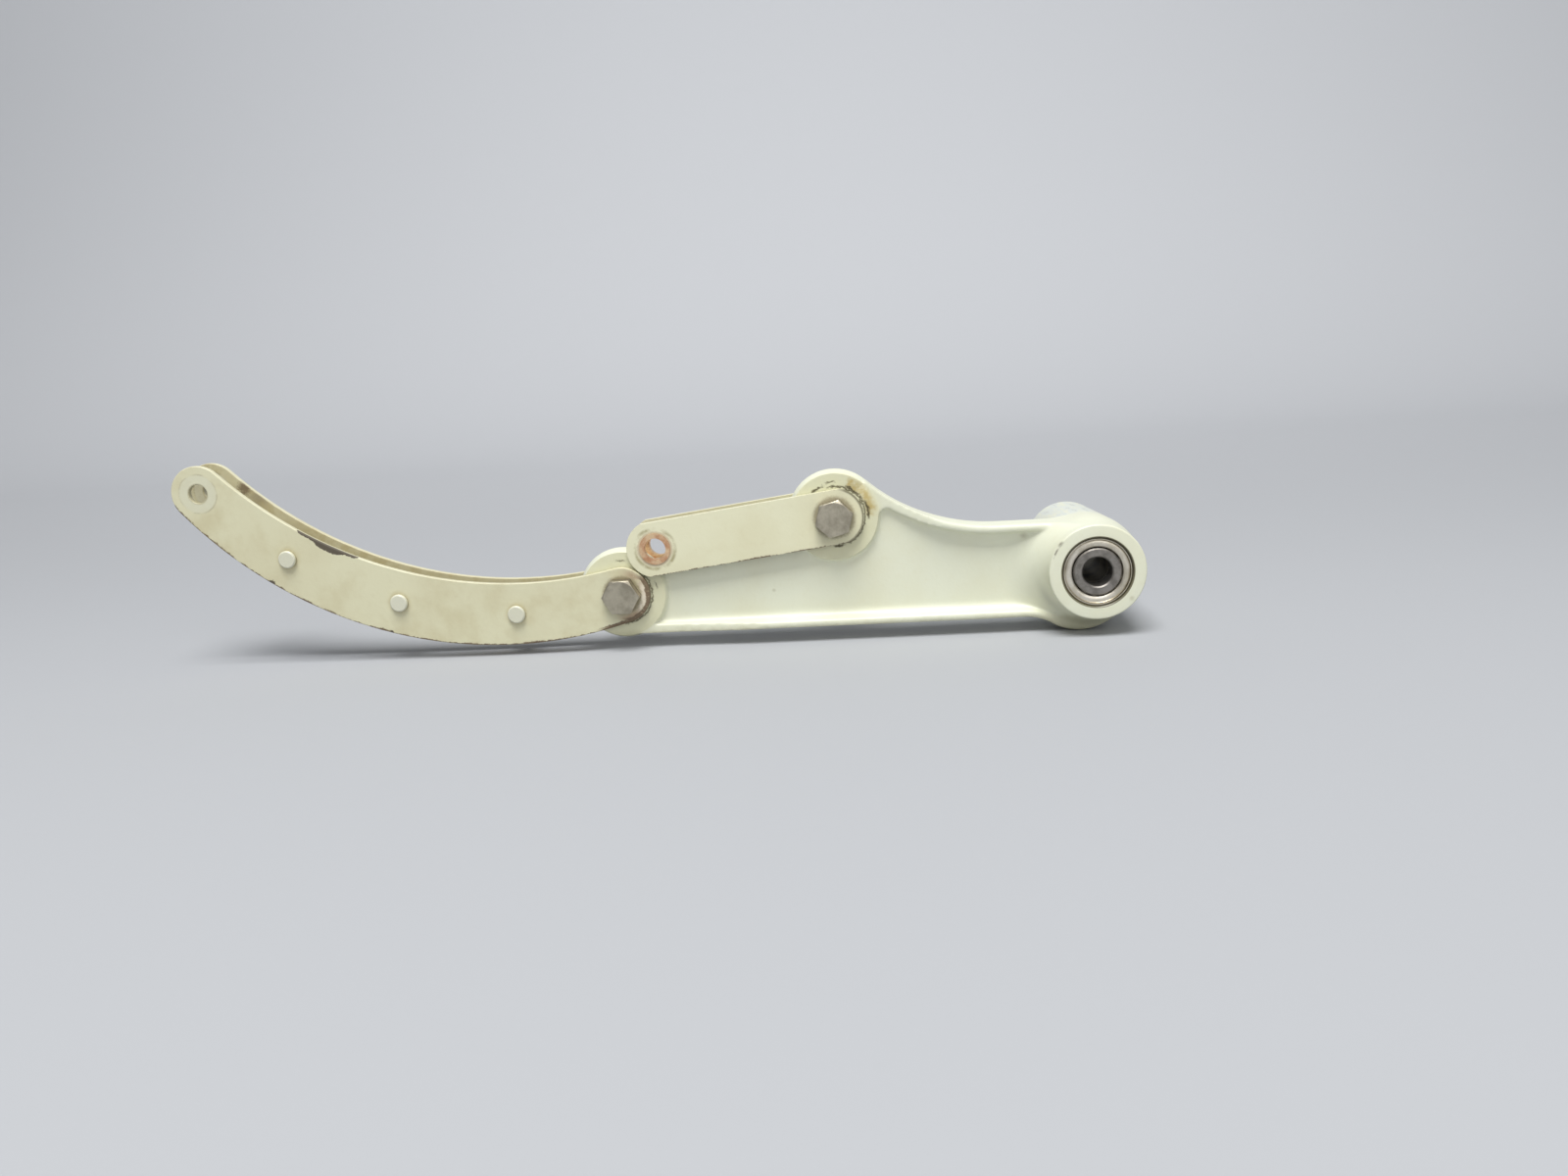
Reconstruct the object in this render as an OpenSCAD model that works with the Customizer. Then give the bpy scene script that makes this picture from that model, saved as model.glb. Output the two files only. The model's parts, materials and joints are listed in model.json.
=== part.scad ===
// Aircraft bellcrank: a forged arm on two hub bearings, with a short straight link and a
// curved link pinned to its bosses. The hub axis is Y, the arm runs towards -X and Z is up.

/* [Hub] */
// Length of the hub in front of the arm's middle plane
hub_front_len = 16; // [14:0.5:22]
// Length of the hub behind the arm's middle plane
hub_rear_len = 49; // [36:1:60]
// Radius of the hub at its front face
hub_front_r = 15.3; // [14.5:0.1:16]
// Radius of the hub at the arm's middle plane
hub_mid_r = 16; // [15.5:0.1:17]
// Radius of the hub at its rear face
hub_rear_r = 13.9; // [13.4:0.1:15]
// Rounding of the hub's end edges
hub_edge_r = 0.6; // [0.3:0.1:1]
// Radius of the foot that the lower flange runs into under the hub
foot_r = 17; // [16.4:0.1:17.6]
// How far the middle of the foot lies below the hub axis
foot_drop = 4.3; // [3.8:0.1:4.8]
// How far the middle of the foot lies towards the arm
foot_shift = 4; // [3:0.1:5]
// Radius of the hollow blend from the web and the flanges to the hub
hub_blend_r = 13.8; // [11:0.2:14]

/* [Hub bearings] */
// Outside diameter of a bearing
bearing_od = 22.225; // [21:0.1:23]
// Bore of a bearing
bearing_bore = 9.525; // [8:0.1:11]
// Width of a bearing
bearing_w = 7.9; // [7:0.1:10]
// How far a bearing sits below the hub's end face
bearing_recess = 0.6; // [0.2:0.1:1.5]
// Outside diameter of the inner ring
inner_ring_od = 15.2; // [14.6:0.1:15.6]
// Diameter of a ball
ball_d = 3.175; // [2.8:0.05:3.4]
// Number of balls in a bearing
ball_count = 15; // [9:1:15]
// Thickness of a shield's sheet
shield_t = 0.4; // [0.3:0.05:0.6]
// Wall of the tube between the inner rings
spacer_wall = 2.2; // [1.4:0.1:2.6]

/* [Arm] */
// Distance from the hub axis to the lower boss
lower_boss_x = -155; // [-170:0.5:-145]
// Height of the lower boss
lower_boss_z = -2.2; // [-4:0.1:0]
// Distance from the hub axis to the upper boss
upper_boss_x = -82.7; // [-90:0.1:-76]
// Height of the upper boss
upper_boss_z = 20.3; // [17:0.1:24]
// Radius of a boss's machined face
pad_r = 14.2; // [13.4:0.1:14.8]
// Radius of a boss at the parting line
rim_r = 15.5; // [15:0.1:16.5]
// Thickness of a boss over its machined faces
pad_t = 7; // [6:0.1:9]
// Thickness of the web
web_t = 2.8; // [2:0.1:4]
// Thickness of the flanges
flange_t = 2.6; // [2:0.1:3.5]
// Width of the upper and lower flanges
flange_w = 11; // [9:0.2:14]
// Width of the flange under the short link
inner_flange_w = 6.2; // [5:0.1:6.6]
// Rounding of the flange edges
flange_edge_r = 0.9; // [0.4:0.1:1.2]
// Radius of the fillet between web and flange
web_fillet_r = 3; // [1.5:0.1:3.4]
// Radius of the pocket's corner between the upper boss and the upper flange
pocket_corner_r = 3; // [2:0.1:4]
// Radius of the upper flange's sweep from boss to hub
sweep_r = 62; // [50:1:75]
// Height of the upper flange where it meets the hub
upper_flange_z = 14.9; // [14:0.1:15.5]
// Height of the lower flange's underside
lower_flange_z = -16.2; // [-16.8:0.1:-15.6]
// Where the lower flange starts to dip towards the hub
dip_x = -22; // [-28:1:-21]
// Height of the arm's edge under the free end of the short link
valley_low_z = 9; // [6:0.1:9.3]
// Height of the arm's edge beside the upper boss
valley_high_z = 15.6; // [13:0.1:18]
/* [Curved link] */
// How far the tip hole lies from the lower pivot, level
tip_dx = -141.5; // [-150:0.5:-130]
// How far the tip hole lies above the lower pivot
tip_dz = 41.8; // [36:0.2:48]
// Radius of the link's two edges
link_edge_r = 143; // [125:1:165]
// Radius of the link's ends
link_end_r = 9.4; // [8.6:0.1:10]
// Diameter of the tip holes
tip_hole_d = 6.35; // [5:0.05:8]
// Diameter of a rivet's shank
rivet_d = 3.97; // [3.2:0.01:4.8]
// Diameter of a rivet's driven head
driven_head_d = 6; // [5.6:0.1:7]
// Height of a rivet's driven head
driven_head_h = 1.5; // [1:0.1:2]
// Diameter of a rivet's formed head
formed_head_d = 7.9; // [6:0.1:9]
// Height of a rivet's formed head
formed_head_h = 1.7; // [1.2:0.1:2.2]
// Angle between neighbouring rivets, seen from the middle of the link's sweep
rivet_pitch = 16.3; // [12:0.1:19]
// Outside diameter of the tubes that hold the plates apart
link_tube_d = 7.9; // [6.4:0.1:10]

/* [Short link] */
// Distance between the short link's holes
short_link_len = 60.4; // [56:0.1:70]
// Slope of the short link as it rests
short_link_slope = 7; // [5:0.1:9]
// Width of the short link
short_link_w = 18; // [16:0.1:19]
// Radius of the short link's ends
short_end_r = 9.6; // [9.2:0.1:10]
// Bore of the bushings in its free end
link_bush_bore = 7.15; // [6:0.05:8]
// Outside diameter of the bushings in its free end
link_bush_od = 10.4; // [9.4:0.1:12]
// How far those bushings stand out of the plates
link_bush_stand = 0.25; // [0.1:0.05:0.5]

/* [Link plates and pivots] */
// Thickness of a link plate
plate_t = 2; // [1.4:0.1:2.6]
// Diameter of a pivot bolt
bolt_d = 6.35; // [5:0.05:7]
// Width across flats of bolt heads and nuts
hex_af = 11.11; // [10:0.01:13]
// Height of a bolt head
head_h = 4; // [3:0.1:5]
// Turn of the upper bolt's head
upper_head_turn = 45; // [0:1:59]
// Outside diameter of a boss bushing
boss_bush_od = 9.525; // [8.5:0.05:12]
// Outside diameter of a washer
washer_d = 12.7; // [11.5:0.1:15]
// Thickness of a washer
washer_t = 0.8; // [0.5:0.1:1.6]
// Height of a castle nut
nut_h = 5.6; // [5:0.1:8]
// Depth of a castle nut's slots
slot_depth = 2.6; // [2.2:0.1:3]
// Width of a castle nut's slots
slot_w = 2.2; // [1.9:0.1:2.6]
// Diameter of a cotter pin
cotter_d = 1.5; // [1.2:0.1:1.6]
// How far a bolt stands out of its nut
bolt_stand = 0.9; // [0.6:0.1:2]

/* [Fits] */
// Gap between a boss face and a link plate
side_gap = 0.15; // [0.05:0.05:0.3]
// Radial clearance of pieces that turn in each other
running_gap = 0.03; // [0.02:0.01:0.08]
// Radial clearance of pieces that are pressed or held in each other
seat_gap = 0.01; // [0.005:0.005:0.03]
// Gap between the inner ring and a shield
shield_gap = 0.3; // [0.2:0.05:0.5]

/* [Hidden] */
$fn = 96;

paint = "#d9d8bd";
bare_steel = "#8f8a86";
bright_steel = "#c9c8c6";
dark_steel = "#6d6a68";
cadmium = "#b5ad95";
bronze = "#b9754a";

// Points along an arc about a centre, from one angle to another
function arc(c, r, a0, a1, steps = 8) =
    [for (i = [0:steps]) let (a = a0 + (a1 - a0) * i / steps) c + r * [cos(a), sin(a)]];
function angle_of(v) = atan2(v[1], v[0]);
// Where two circles meet, on the right of the way from the first centre to the second
function meet(c0, r0, c1, r1) =
    let (d = norm(c1 - c0), u = (c1 - c0) / d, a = (r0 * r0 - r1 * r1 + d * d) / (2 * d))
    c0 + a * u + sqrt(r0 * r0 - a * a) * [u[1], -u[0]];

// Outlines are drawn with X to the right and Z up, profiles as radius and place along Y.
// Cuts run past the faces they open, and shapes that join bite a little into each other.
past = 1;
reach = 60;
overlap = 0.4;
bite = 0.15;
edge_steps = 4;
fillet_steps = 6;
blend_steps = 14;
link_edge_steps = 36;
link_end_steps = 24;
lower_boss = [lower_boss_x, lower_boss_z];
upper_boss = [upper_boss_x, upper_boss_z];
half_web = web_t / 2;
half_pad = pad_t / 2;
half_flange = flange_w / 2;

// The upper flange's sweep touches the upper boss and the level line above the hub
sweep_reach = sweep_r + rim_r - bite;
sweep_rise = upper_flange_z + sweep_r - upper_boss_z;
sweep_run = sqrt(sweep_reach * sweep_reach - sweep_rise * sweep_rise);
sweep_centre = [upper_boss_x + sweep_run, upper_flange_z + sweep_r];
sweep_start = 180 + angle_of(sweep_centre - upper_boss);

// Beside a boss a flange is no wider than the boss, so that the link plates pass, then it widens
flange_inset = 0.1;
upper_narrow_len = 4.5;
upper_widening_len = 22;
lower_narrow_len = 1.5;
lower_widening_len = 43;
upper_narrow_x = upper_boss_x + rim_r + upper_narrow_len;
upper_wide_x = upper_narrow_x + upper_widening_len;
lower_narrow_x = lower_boss_x + rim_r + lower_narrow_len;
lower_wide_x = lower_narrow_x + lower_widening_len;
lower_flange_start = 4;

// The lower flange dips in an arc that runs into the foot's underside
foot_centre = [-foot_shift, -foot_drop];
foot_top_z = lower_flange_z + flange_t;
dip_depth = -lower_flange_z - foot_drop;
dip_touch_r = foot_r - bite;
dip_r = (pow(dip_x + foot_shift, 2) + dip_depth * dip_depth - dip_touch_r * dip_touch_r)
    / (2 * (dip_touch_r - dip_depth));
dip_angle = atan2(-foot_shift - dip_x, dip_r + dip_depth);
dip_end_x = dip_x + dip_r * sin(dip_angle);

// The edge under the short link runs from the lower boss up to the upper one
valley_end = 1.2;
valley_run_in = 6;
valley_fillet_r = 1.2;
valley_low = [lower_boss_x + rim_r - valley_end, valley_low_z];
valley_high = [upper_boss_x - rim_r + valley_end, valley_high_z];
valley_slope = angle_of(valley_high - valley_low);
valley_len = norm(valley_high - valley_low);
valley_start = valley_low - valley_run_in * [cos(valley_slope), sin(valley_slope)];

// The pocket's corner touches the upper boss and the upper flange
boss_edge = 0.3;
corner_boss_r = pad_r + boss_edge + pocket_corner_r;
corner_sweep_r = sweep_r + flange_t + pocket_corner_r;
corner_centre = meet(upper_boss, corner_boss_r, sweep_centre, corner_sweep_r);
corner_seat = pocket_corner_r + flange_t / 2;

// Edges and blends of the forging
barrel_flat = 2;
blend_sink = 2;

// Bearings, from the end face inwards
seat_r = bearing_od / 2 + seat_gap;
seat_depth = bearing_recess + bearing_w;
bearing_r = bearing_od / 2;
bore_r = bearing_bore / 2;
inner_ring_r = inner_ring_od / 2;
land_gap = 1.3;
outer_land_r = inner_ring_r + land_gap;
ball_track_r = (inner_ring_r + outer_land_r) / 2;
groove_r = ball_d / 2 + running_gap;
shield_seat_wall = 0.7;
shield_seat_r = bearing_r - shield_seat_wall;
shield_depth = 1.1;
shield_dome = 0.75;
shield_foot = 0.12;
shield_inner_r = inner_ring_r + shield_gap;
outer_ring_edge = 0.5;
inner_ring_edge = 0.4;
core_step = 0.6;
hub_core_r = outer_land_r + core_step;
spacer_r = bore_r + spacer_wall;
front_seat_y = -hub_front_len + bearing_recess;
rear_seat_y = hub_rear_len - bearing_recess;

// Link plates lie on both sides of the bosses
plate_in_y = half_pad + side_gap;
plate_out_y = plate_in_y + plate_t;
bolt_r = bolt_d / 2;
boss_bush_r = boss_bush_od / 2;
boss_bush_bore_r = bolt_r + running_gap;
plate_hole_r = bolt_r + seat_gap;

// Curved link: two edges of one radius, both tangent to the round ends
tip = lower_boss + [tip_dx, tip_dz];
link_half = norm([tip_dx, tip_dz]) / 2;
link_mid = (lower_boss + tip) / 2;
link_dir = [tip_dx, tip_dz] / (2 * link_half);
link_up = [link_dir[1], -link_dir[0]];
outer_centre = link_mid + link_up * sqrt(pow(link_edge_r - link_end_r, 2) - link_half * link_half);
inner_centre = link_mid + link_up * sqrt(pow(link_edge_r + link_end_r, 2) - link_half * link_half);
sweep_mid = (outer_centre + inner_centre) / 2;
rivet_mid_angle = angle_of(-link_up);
rivet_r = rivet_d / 2;
rivet_track_r = norm(tip - sweep_mid);
rivet_edge = 0.4;

// Short link, from its pivot to its free hole
short_free = upper_boss - short_link_len * [cos(short_link_slope), sin(short_link_slope)];
short_half_w = short_link_w / 2;
short_end_angle = asin(short_half_w / short_end_r);
link_bush_r = link_bush_od / 2;

// Bolt stack behind the rear plate
washer_y = plate_out_y;
nut_y = washer_y + washer_t;
nut_end_y = nut_y + nut_h;
bolt_end_y = nut_end_y + bolt_stand;
hex_in_r = hex_af / 2;
hex_corner_r = hex_in_r / cos(30);
hex_edge = 0.2;
hex_edge_h = 0.6;
bolt_edge = 0.7;
cotter_gap = 0.1;
cotter_r = cotter_d / 2;
cotter_hole_r = cotter_r + cotter_gap;
cotter_y = nut_end_y - slot_depth / 2 - cotter_gap;
cotter_stand = 0.9;
cotter_reach = hex_in_r + cotter_stand;
leg_share = 0.62;
leg_r = cotter_r * leg_share;
leg_off = cotter_r - leg_r;
leg_bend_r = 1.3;
leg_clear = 0.3;
wire_fn = 24;

// Gives an outline in X and Z a thickness from y0 to y1
module along_y(y0, y1) {
    translate([0, y1, 0])
        rotate([90, 0, 0])
            linear_extrude(y1 - y0)
                children();
}

// Turns a profile about an axis along Y through a point of the outline
module turned(at = [0, 0]) {
    translate([at[0], 0, at[1]])
        rotate([-90, 0, 0])
            rotate_extrude()
                children();
}

// A straight pin along Y
module pin_y(at, r, y0, y1) {
    translate([at[0], y0, at[1]])
        rotate([-90, 0, 0])
            cylinder(r = r, h = y1 - y0);
}

// Section of a flange with its two edge roundings and the fillets that lead into the web,
// drawn as distance inwards from the outer edge and place along Y
module flange_section(half_w, fillet_r) {
    e = flange_edge_r;
    t = flange_t;
    web_end = t + fillet_r;
    polygon(concat(
        arc([e, e - half_w], e, 180, 270, edge_steps),
        arc([t - e, e - half_w], e, 270, 360, edge_steps),
        arc([web_end, -half_web - fillet_r], fillet_r, 180, 90, fillet_steps),
        arc([web_end, half_web + fillet_r], fillet_r, 270, 180, fillet_steps),
        arc([t - e, half_w - e], e, 0, 90, edge_steps),
        arc([e, half_w - e], e, 90, 180, edge_steps)));
}

// A straight flange that starts at a point of the outline and runs at an angle, outer edge on its left
module straight_flange(from, angle, length, half_w, fillet_r) {
    translate([from[0], 0, from[1]])
        rotate([0, -angle, 0])
            rotate([0, 90, 0])
                linear_extrude(length)
                    flange_section(half_w, fillet_r);
}

// The upper flange: a sweep from the upper boss down to the level line, then straight to the hub
module upper_flange() {
    translate([sweep_centre[0], 0, sweep_centre[1]])
        rotate([90, 0, 0])
            rotate([0, 0, sweep_start])
                rotate_extrude(angle = 270 - sweep_start)
                    translate([sweep_r, 0])
                        flange_section(half_flange, web_fillet_r);
    straight_flange([sweep_centre[0], upper_flange_z], 0, -sweep_centre[0], half_flange, web_fillet_r);
}

// The lower flange is straight from the lower boss to its dip
module lower_flange() {
    start_x = lower_boss_x + lower_flange_start;
    mirror([0, 0, 1])
        straight_flange([start_x, -lower_flange_z], 0, dip_x - start_x, half_flange, web_fillet_r);
}

// The lower flange dips in an arc to the foot under the hub
module lower_flange_dip() {
    mirror([0, 0, 1])
        translate([dip_x, 0, dip_r - lower_flange_z])
            rotate([90, 0, 0])
                rotate([0, 0, 270])
                    rotate_extrude(angle = dip_angle)
                        translate([dip_r, 0])
                            flange_section(half_flange, web_fillet_r);
}

// Seen from above: narrow beside a boss and wider towards the hub
module flange_plan(narrow_x, wide_x) {
    narrow = half_pad - flange_inset;
    wide = half_flange + past;
    translate([0, 0, -reach])
        linear_extrude(2 * reach)
            polygon([[narrow_x - reach, -narrow], [narrow_x, -narrow], [wide_x, -wide], [past, -wide],
                [past, wide], [wide_x, wide], [narrow_x, narrow], [narrow_x - reach, narrow]]);
}

// The area above the lower flange's dip
module dip_outline() {
    difference() {
        translate([dip_x, -foot_drop - foot_r])
            square([dip_end_x - dip_x, foot_r + foot_drop + lower_flange_z + flange_t]);
        translate([dip_x, lower_flange_z - dip_r])
            circle(dip_r, $fn = 360);
    }
}

// The round foot under the hub, with the same edges as the flange
module hub_foot() {
    e = flange_edge_r;
    intersection() {
        turned(foot_centre)
            polygon(concat([[0, -half_flange]], arc([foot_r - e, e - half_flange], e, 270, 360, edge_steps),
                arc([foot_r - e, half_flange - e], e, 0, 90, edge_steps), [[0, half_flange]]));
        along_y(-reach, reach)
            translate([dip_end_x - bite, -reach])
                square([2 * reach, reach + foot_top_z]);
    }
}

// The area beside the hub, out to the flanges' outer faces
module hub_outline() {
    translate([sweep_centre[0], lower_flange_z])
        square([-sweep_centre[0], upper_flange_z - lower_flange_z]);
    dip_outline();
    translate(foot_centre)
        circle(foot_r - overlap);
}

// The area between the flanges
module web_outline() {
    inset = flange_t / 2;
    difference() {
        polygon([[lower_boss_x, lower_flange_z + inset], [0, lower_flange_z + inset],
            [0, upper_flange_z - inset], [sweep_centre[0], upper_flange_z - inset],
            upper_boss + [rim_r - inset, inset], upper_boss,
            valley_high - [0, inset], valley_low - [0, inset], lower_boss]);
        translate(sweep_centre)
            circle(sweep_r + inset - overlap, $fn = 180);
    }
}

// The filled corner between the upper boss and the upper flange, as thick as the flange is there
module pocket_corner() {
    half_t = half_pad - flange_inset;
    along_y(-half_t, half_t)
        difference() {
            polygon([upper_boss, corner_centre,
                corner_centre + (sweep_centre - corner_centre) * corner_seat / corner_sweep_r,
                meet(upper_boss, rim_r, sweep_centre, sweep_r + flange_t / 2)]);
            translate(corner_centre)
                circle(pocket_corner_r);
        }
}

// A boss: drafted from the parting line to its machined faces
module boss(at) {
    turned(at)
        polygon([[0, -half_pad], [pad_r, -half_pad], [pad_r + boss_edge, boss_edge - half_pad],
            [rim_r, -boss_edge], [rim_r, boss_edge], [pad_r + boss_edge, half_pad - boss_edge],
            [pad_r, half_pad], [0, half_pad]]);
}

// The hub barrel tapers from the arm to both ends
module hub_barrel() {
    e = hub_edge_r;
    turned()
        polygon(concat([[0, -hub_front_len]],
            arc([hub_front_r - e, e - hub_front_len], e, 270, 360, edge_steps),
            [[hub_mid_r, -barrel_flat], [hub_mid_r, barrel_flat]],
            arc([hub_rear_r - e, hub_rear_len - e], e, 0, 90, edge_steps),
            [[0, hub_rear_len]]));
}

// The hollow blend from the web and the flanges into the hub, on one face of the web
module hub_blend() {
    r = hub_blend_r;
    inner_r = hub_front_r - blend_sink;
    intersection() {
        turned()
            polygon(concat([[inner_r, half_web - overlap]],
                arc([hub_front_r + r - bite, half_web + r], r, 270, 180, blend_steps), [[inner_r, half_web + r]]));
        along_y(-reach, reach)
            hub_outline();
    }
}

module bellcrank_arm() {
    color(paint)
        difference() {
            union() {
                along_y(-half_web, half_web) {
                    web_outline();
                    dip_outline();
                }
                intersection() {
                    upper_flange();
                    flange_plan(upper_narrow_x, upper_wide_x);
                }
                intersection() {
                    lower_flange();
                    flange_plan(lower_narrow_x, lower_wide_x);
                }
                straight_flange(valley_start, valley_slope, valley_len + 2 * valley_run_in,
                    inner_flange_w / 2, valley_fillet_r);
                lower_flange_dip();
                hub_foot();
                hub_blend();
                mirror([0, 1, 0])
                    hub_blend();
                hub_barrel();
                boss(lower_boss);
                boss(upper_boss);
                pocket_corner();
            }
            pin_y([0, 0], seat_r, -hub_front_len - past, seat_depth - hub_front_len);
            pin_y([0, 0], seat_r, hub_rear_len - seat_depth, hub_rear_len + past);
            pin_y([0, 0], hub_core_r, -hub_front_len, hub_rear_len);
            pin_y(lower_boss, boss_bush_r + seat_gap, -pad_t, pad_t);
            pin_y(upper_boss, boss_bush_r + seat_gap, -pad_t, pad_t);
        }
}

module boss_bushing(at) {
    color(bare_steel)
        difference() {
            pin_y(at, boss_bush_r, -half_pad, half_pad);
            pin_y(at, boss_bush_bore_r, -pad_t, pad_t);
        }
}

module upper_boss_bushing() {
    boss_bushing(upper_boss);
}

module lower_boss_bushing() {
    boss_bushing(lower_boss);
}

// Puts a bearing piece in the front of the hub, or turned round in the back of it
module at_bearing(front) {
    if (front)
        translate([0, front_seat_y, 0])
            children();
    else
        translate([0, rear_seat_y, 0])
            mirror([0, 1, 0])
                children();
}

module ball_groove() {
    translate([ball_track_r, bearing_w / 2])
        circle(groove_r);
}

module outer_ring(front) {
    c = outer_ring_edge;
    color(bright_steel)
        at_bearing(front)
            turned()
                difference() {
                    polygon([[outer_land_r, shield_depth], [shield_seat_r, shield_depth], [shield_seat_r, 0],
                        [bearing_r - c, 0], [bearing_r, c], [bearing_r, bearing_w - c],
                        [bearing_r - c, bearing_w], [shield_seat_r, bearing_w],
                        [shield_seat_r, bearing_w - shield_depth], [outer_land_r, bearing_w - shield_depth]]);
                    ball_groove();
                }
}

module inner_ring(front) {
    c = inner_ring_edge;
    color(dark_steel)
        at_bearing(front)
            turned()
                difference() {
                    polygon([[bore_r, c], [bore_r + c, 0], [inner_ring_r - c, 0], [inner_ring_r, c],
                        [inner_ring_r, bearing_w - c], [inner_ring_r - c, bearing_w], [bore_r + c, bearing_w],
                        [bore_r, bearing_w - c]]);
                    ball_groove();
                }
}

module balls(front) {
    color(bright_steel)
        at_bearing(front)
            for (i = [0:ball_count - 1])
                rotate([0, 360 * i / ball_count, 0])
                    translate([ball_track_r, bearing_w / 2, 0])
                        sphere(d = ball_d);
}

// A shield: a domed sheet ring that fills the space between the rings
module shield_profile() {
    mid_r = (shield_seat_r + shield_inner_r) / 2;
    half = (shield_seat_r - shield_inner_r - seat_gap) / 2;
    back_y = shield_depth - seat_gap;
    front_y = back_y - shield_foot;
    hollow_h = shield_dome + shield_foot - shield_t;
    polygon(concat([[mid_r + half, back_y]],
        [for (a = [0:18:180]) [mid_r + half * cos(a), front_y - shield_dome * sin(a)]],
        [[mid_r - half, back_y]],
        [for (a = [180:-18:0]) [mid_r + (half - shield_t) * cos(a), back_y - hollow_h * sin(a)]]));
}

module shields(front) {
    color(bright_steel)
        at_bearing(front) {
            turned()
                shield_profile();
            translate([0, bearing_w, 0])
                mirror([0, 1, 0])
                    turned()
                        shield_profile();
        }
}

module front_bearing_outer_ring() {
    outer_ring(true);
}

module front_bearing_inner_ring() {
    inner_ring(true);
}

module front_bearing_balls() {
    balls(true);
}

module front_bearing_shields() {
    shields(true);
}

module rear_bearing_outer_ring() {
    outer_ring(false);
}

module rear_bearing_inner_ring() {
    inner_ring(false);
}

module rear_bearing_balls() {
    balls(false);
}

module rear_bearing_shields() {
    shields(false);
}

module bearing_spacer() {
    color(bare_steel)
        difference() {
            pin_y([0, 0], spacer_r, front_seat_y + bearing_w, rear_seat_y - bearing_w);
            pin_y([0, 0], bore_r, -hub_front_len, hub_rear_len);
        }
}

// Outline of a curved link plate
module curved_link_outline() {
    a_out_pivot = angle_of(lower_boss - outer_centre);
    a_out_tip = angle_of(tip - outer_centre);
    a_in_pivot = angle_of(lower_boss - inner_centre);
    a_in_tip = angle_of(tip - inner_centre);
    polygon(concat(
        arc(outer_centre, link_edge_r, a_out_pivot, a_out_tip, link_edge_steps),
        arc(tip, link_end_r, a_out_tip, a_in_tip - 180, link_end_steps),
        arc(inner_centre, link_edge_r, a_in_tip, a_in_pivot, link_edge_steps),
        arc(lower_boss, link_end_r, a_in_pivot + 180, a_out_pivot, link_end_steps)));
}

function rivet_at(i) =
    let (a = rivet_mid_angle + rivet_pitch * i) sweep_mid + rivet_track_r * [cos(a), sin(a)];

module curved_link_plate(y0) {
    color(paint)
        difference() {
            along_y(y0, y0 + plate_t)
                curved_link_outline();
            pin_y(lower_boss, plate_hole_r, y0 - past, y0 + plate_t + past);
            pin_y(tip, tip_hole_d / 2, y0 - past, y0 + plate_t + past);
            for (i = [-1:1])
                pin_y(rivet_at(i), rivet_r + seat_gap, y0 - past, y0 + plate_t + past);
        }
}

module curved_link_front_plate() {
    curved_link_plate(-plate_out_y);
}

module curved_link_rear_plate() {
    curved_link_plate(plate_in_y);
}

module curved_link_spacers() {
    color(bare_steel)
        for (i = [-1:1])
            difference() {
                pin_y(rivet_at(i), link_tube_d / 2, -plate_in_y, plate_in_y);
                pin_y(rivet_at(i), rivet_r + seat_gap, -plate_out_y, plate_out_y);
            }
}

// Rivets with a flat driven head in front and a round formed head behind
module curved_link_rivets() {
    e = rivet_edge;
    driven_r = driven_head_d / 2;
    formed_r = formed_head_d / 2;
    front_y = -plate_out_y - driven_head_h;
    dome_r = (formed_r * formed_r + formed_head_h * formed_head_h) / (2 * formed_head_h);
    dome_half = asin(formed_r / dome_r);
    color(paint)
        for (i = [-1:1])
            turned(rivet_at(i))
                polygon(concat([[0, front_y], [driven_r - e, front_y], [driven_r, front_y + e],
                    [driven_r, -plate_out_y], [rivet_r, -plate_out_y], [rivet_r, plate_out_y]],
                    arc([0, plate_out_y + formed_head_h - dome_r], dome_r, 90 - dome_half, 90)));
}

// A hexagon along Y with chamfered corners at its front, and at its back where that is free
module hex_body(at, y0, y1, turn, both_ends) {
    wide_r = hex_corner_r + hex_edge;
    narrow_r = hex_in_r - hex_edge;
    intersection() {
        translate([at[0], y0, at[1]])
            rotate([0, turn, 0])
                rotate([-90, 0, 0])
                    cylinder(r = hex_corner_r, h = y1 - y0, $fn = 6);
        turned(at)
            polygon(concat([[0, y0], [narrow_r, y0], [wide_r, y0 + hex_edge_h]],
                both_ends ? [[wide_r, y1 - hex_edge_h], [narrow_r, y1]] : [[wide_r, y1]],
                [[0, y1]]));
    }
}

// Pivot bolt: a hex head in front, a plain shank and an end drilled for the cotter pin
module pivot_bolt(at, head_turn) {
    head_y = -plate_out_y - head_h;
    c = bolt_edge;
    color(bare_steel)
        difference() {
            union() {
                hex_body(at, head_y, -plate_out_y, head_turn, false);
                turned(at)
                    polygon([[0, head_y + past], [bolt_r, head_y + past], [bolt_r, bolt_end_y - c],
                        [bolt_r - c, bolt_end_y], [0, bolt_end_y]]);
            }
            translate([at[0] - bolt_d, cotter_y, at[1]])
                rotate([0, 90, 0])
                    cylinder(r = cotter_hole_r, h = 2 * bolt_d);
        }
}

module pivot_washer(at) {
    color(cadmium)
        difference() {
            pin_y(at, washer_d / 2, washer_y, nut_y);
            pin_y(at, plate_hole_r, washer_y - past, nut_y + past);
        }
}

// Castle nut: a hexagon chamfered at both ends, with three slots across it
module castle_nut(at) {
    color(cadmium)
        difference() {
            hex_body(at, nut_y, nut_end_y, 30, true);
            pin_y(at, plate_hole_r, nut_y - past, nut_end_y + past);
            for (turn = [0, 60, 120])
                translate([at[0], nut_end_y - slot_depth, at[1]])
                    rotate([0, turn, 0])
                        translate([-hex_af, 0, -slot_w / 2])
                            cube([2 * hex_af, slot_depth + past, slot_w]);
        }
}

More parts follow.
